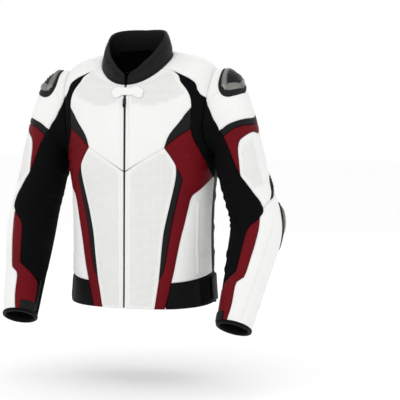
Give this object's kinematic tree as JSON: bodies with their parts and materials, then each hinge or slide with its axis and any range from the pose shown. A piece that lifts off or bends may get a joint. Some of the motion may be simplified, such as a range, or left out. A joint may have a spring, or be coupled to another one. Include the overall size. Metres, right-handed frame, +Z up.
{
  "type": "motorcycle jacket",
  "caption": "Zipped leather riding jacket with stand-up collar, stretch inserts, bending elbows, hard shoulder and elbow guards and a black hem band.",
  "frame": {"origin": "middle of the neck base, at side-neck height, where the jacket hangs on a neck", "axes": "+Z up, the wearer faces -Y, the wearer's left arm is on +X"},
  "size_m": [0.7068, 0.2935, 0.7104],
  "materials": {
    "white_leather": "semi-gloss pigmented leather, perforated on the chest, belly and upper arms",
    "red_leather": "semi-gloss deep red leather",
    "black_leather": "satin black leather",
    "black_stretch": "matt ribbed stretch fabric",
    "lining": "matt mesh lining",
    "cuff_binding": "matt binding and inner cuff",
    "zip_tape": "zip chain and tape",
    "zip_metal": "dark satin metal",
    "guard_metal": "gunmetal, brushed, on a black rubber base"
  },
  "bodies": {
    "jacket": {"front_chest_l": "white_leather", "front_chest_r": "white_leather", "front_belly_l": "white_leather", "front_belly_r": "white_leather", "front_red_l": "red_leather", "front_red_r": "red_leather", "front_wedges": "black_leather", "front_strips": "black_leather", "side_panel_l": "white_leather", "side_panel_r": "white_leather", "shoulder_stretch_l": "black_stretch", "shoulder_stretch_r": "black_stretch", "shoulder_white_l": "white_leather", "shoulder_white_r": "white_leather", "back_neck": "black_leather", "back_yoke": "white_leather", "back_v": "black_leather", "back_white_l": "white_leather", "back_white_r": "white_leather", "back_reds_inner": "red_leather", "back_red_l": "red_leather", "back_red_r": "red_leather", "back_stretch_l": "black_stretch", "back_stretch_r": "black_stretch", "back_sides": "black_leather", "hem_band": "black_leather", "collar": "black_leather", "lining": "lining", "main_zip": "zip_tape", "pocket_zips": "white_leather", "sleeve_caps": "white_leather", "arm_bands_black": "black_leather", "arm_bands_red": "red_leather", "upper_sleeve_l": "white_leather", "upper_sleeve_r": "white_leather", "arm_stretches": "black_stretch", "elbow_stretch_l": "black_stretch", "elbow_stretch_r": "black_stretch", "accordion_l": "black_stretch", "accordion_r": "black_stretch", "elbow_patch_l": "white_leather", "elbow_patch_r": "white_leather", "shoulder_cups": "guard_metal"},
    "forearm_l_body": {"forearm_l": "white_leather", "forearm_red_l": "red_leather", "forearm_stretch_l": "black_stretch", "elbow_slider_l": "guard_metal", "cuff_l": "cuff_binding"},
    "forearm_r_body": {"forearm_r": "white_leather", "forearm_red_r": "red_leather", "forearm_stretch_r": "black_stretch", "elbow_slider_r": "guard_metal", "cuff_r": "cuff_binding"},
    "main_slider_body": {"main_slider": "zip_metal"},
    "main_puller_body": {"main_puller": "zip_metal"},
    "collar_tab_body": {"collar_tab": "white_leather"},
    "waist_strap_l_body": {"waist_strap_l": "black_leather"},
    "waist_strap_r_body": {"waist_strap_r": "black_leather"},
    "cuff_tab_l_body": {"cuff_tab_l": "black_leather"},
    "cuff_tab_r_body": {"cuff_tab_r": "black_leather"}
  },
  "joints": [
    {"name": "main_zip_slide", "type": "slide", "parent": "jacket", "child": "main_slider_body", "axis": [0, -0.0175, -0.9998], "range_m": [0, 0.465]},
    {"name": "main_puller_hinge", "type": "hinge", "parent": "main_slider_body", "child": "main_puller_body", "pos_m": [0, -0.14007, -0.08781], "axis": [-1, 0, 0], "range_deg": [0, 100]},
    {"name": "collar_tab_hinge", "type": "hinge", "parent": "jacket", "child": "collar_tab_body", "pos_m": [-0.0392, -0.1336, -0.0645], "axis": [-0.4541, -0.1489, -0.8784], "range_deg": [0, 100]},
    {"name": "elbow_l", "type": "hinge", "parent": "jacket", "child": "forearm_l_body", "pos_m": [0.26245, -0.04395, -0.31433], "axis": [-0.7974, 0.5639, -0.2151], "range_deg": [-15, 40], "stiffness_Nm_per_rad": 2.5, "deforming": ["elbow_stretch_l", "accordion_l", "elbow_patch_l"]},
    {"name": "waist_strap_hinge_l", "type": "hinge", "parent": "jacket", "child": "waist_strap_l_body", "pos_m": [0.16777, 0.03622, -0.53], "axis": [0, 0, 1], "range_deg": [0, 100]},
    {"name": "cuff_tab_hinge_l", "type": "hinge", "parent": "forearm_l_body", "child": "cuff_tab_l_body", "pos_m": [0.259, -0.17028, -0.56682], "axis": [0.0836, 0.4563, 0.8859], "range_deg": [0, 100]},
    {"name": "elbow_r", "type": "hinge", "parent": "jacket", "child": "forearm_r_body", "pos_m": [-0.26245, -0.04395, -0.31433], "axis": [-0.7974, -0.5639, 0.2151], "range_deg": [-15, 40], "stiffness_Nm_per_rad": 2.5, "deforming": ["elbow_stretch_r", "accordion_r", "elbow_patch_r"]},
    {"name": "waist_strap_hinge_r", "type": "hinge", "parent": "jacket", "child": "waist_strap_r_body", "pos_m": [-0.16777, 0.03622, -0.53], "axis": [0, 0, -1], "range_deg": [0, 100]},
    {"name": "cuff_tab_hinge_r", "type": "hinge", "parent": "forearm_r_body", "child": "cuff_tab_r_body", "pos_m": [-0.259, -0.17028, -0.56682], "axis": [0.0836, -0.4563, -0.8859], "range_deg": [0, 100]}
  ]
}
